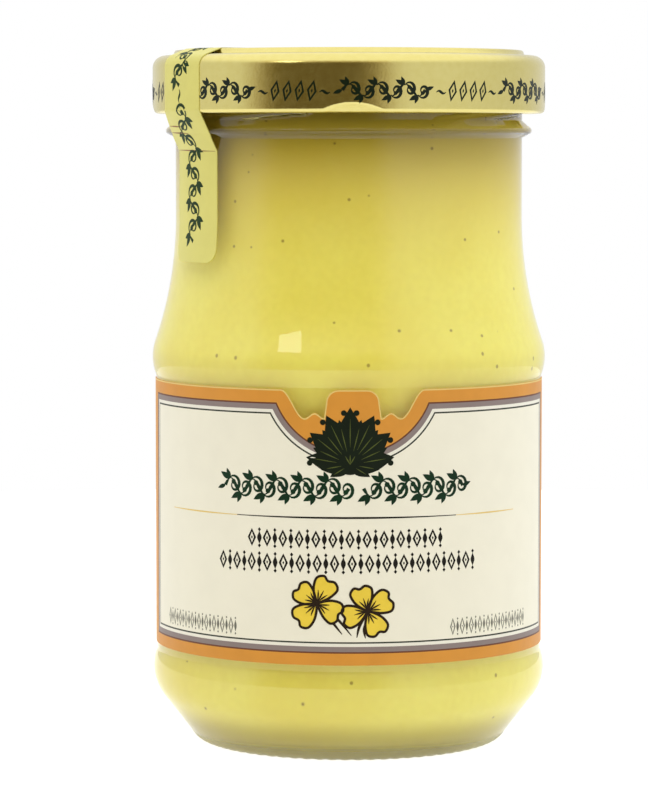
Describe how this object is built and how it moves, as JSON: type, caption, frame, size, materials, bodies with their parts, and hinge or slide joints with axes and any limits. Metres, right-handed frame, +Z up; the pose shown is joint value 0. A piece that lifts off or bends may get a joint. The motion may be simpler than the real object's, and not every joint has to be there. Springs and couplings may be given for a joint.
{
  "type": "mustard jar",
  "caption": "Full glass jar of mustard with a waisted neck, a gold twist-off lid, a paper wrap label with a shaped top edge and a paper seal strip over the lid.",
  "frame": {"origin": "middle of the ring the jar stands on, at the level of the surface it stands on", "axes": "+Z up along the jar's axis; the middle of the label faces -Y; +X to the right as the label is read"},
  "size_m": [0.0614, 0.0614, 0.1081],
  "materials": {
    "glass": "clear, smooth",
    "mustard": "smooth paste, moist",
    "lid_metal": "gold lacquer, glossy",
    "label_paper": "coated paper, satin",
    "seal_paper": "thin paper, satin"
  },
  "bodies": {
    "root": {"jar": "glass", "mustard": "mustard", "lid": "lid_metal", "label": "label_paper", "seal": "seal_paper"}
  },
  "joints": []
}
